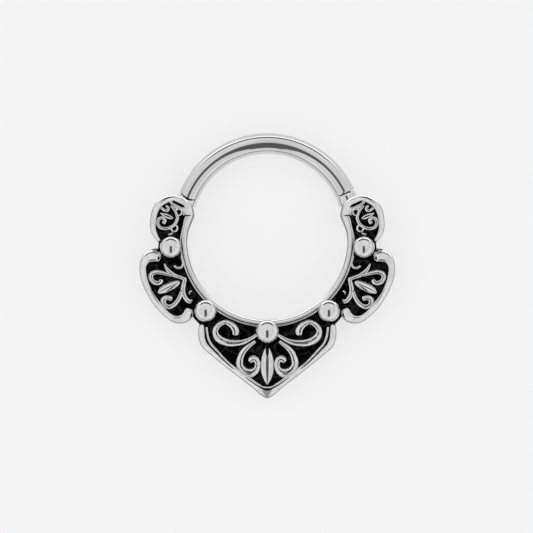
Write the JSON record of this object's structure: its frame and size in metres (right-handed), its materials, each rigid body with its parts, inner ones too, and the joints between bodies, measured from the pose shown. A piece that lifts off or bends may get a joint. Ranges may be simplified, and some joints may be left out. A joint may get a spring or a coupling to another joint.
{
  "type": "hinged septum clicker ring",
  "caption": "Hinged clicker ring: an ornate cast front with scrolls, leaves and balls, and a plain wire bar that swings open on a pin.",
  "frame": {"origin": "below the middle of the ring's bounding box, on the flat back that it rests on", "axes": "+X across the ring, to the right as seen from the ornate front; +Y towards the hinged bar, up as worn; +Z out of the ornate front"},
  "size_m": [0.0154, 0.016, 0.002],
  "materials": {
    "cast_steel": "polished cast stainless steel, with a blackened recessed field behind the raised scrollwork",
    "bar_steel": "polished drawn stainless steel wire",
    "pin_steel": "plain ground stainless steel pin"
  },
  "bodies": {
    "front": {"cast_front": "cast_steel"},
    "bar": {"hinged_bar": "bar_steel", "hinge_pin": "pin_steel"}
  },
  "joints": [
    {"name": "bar_hinge", "type": "hinge", "parent": "front", "child": "bar", "pos_m": [-0.00433, 0.00498, 0.00085], "axis": [0, 0, 1], "range_deg": [0, 90]}
  ]
}
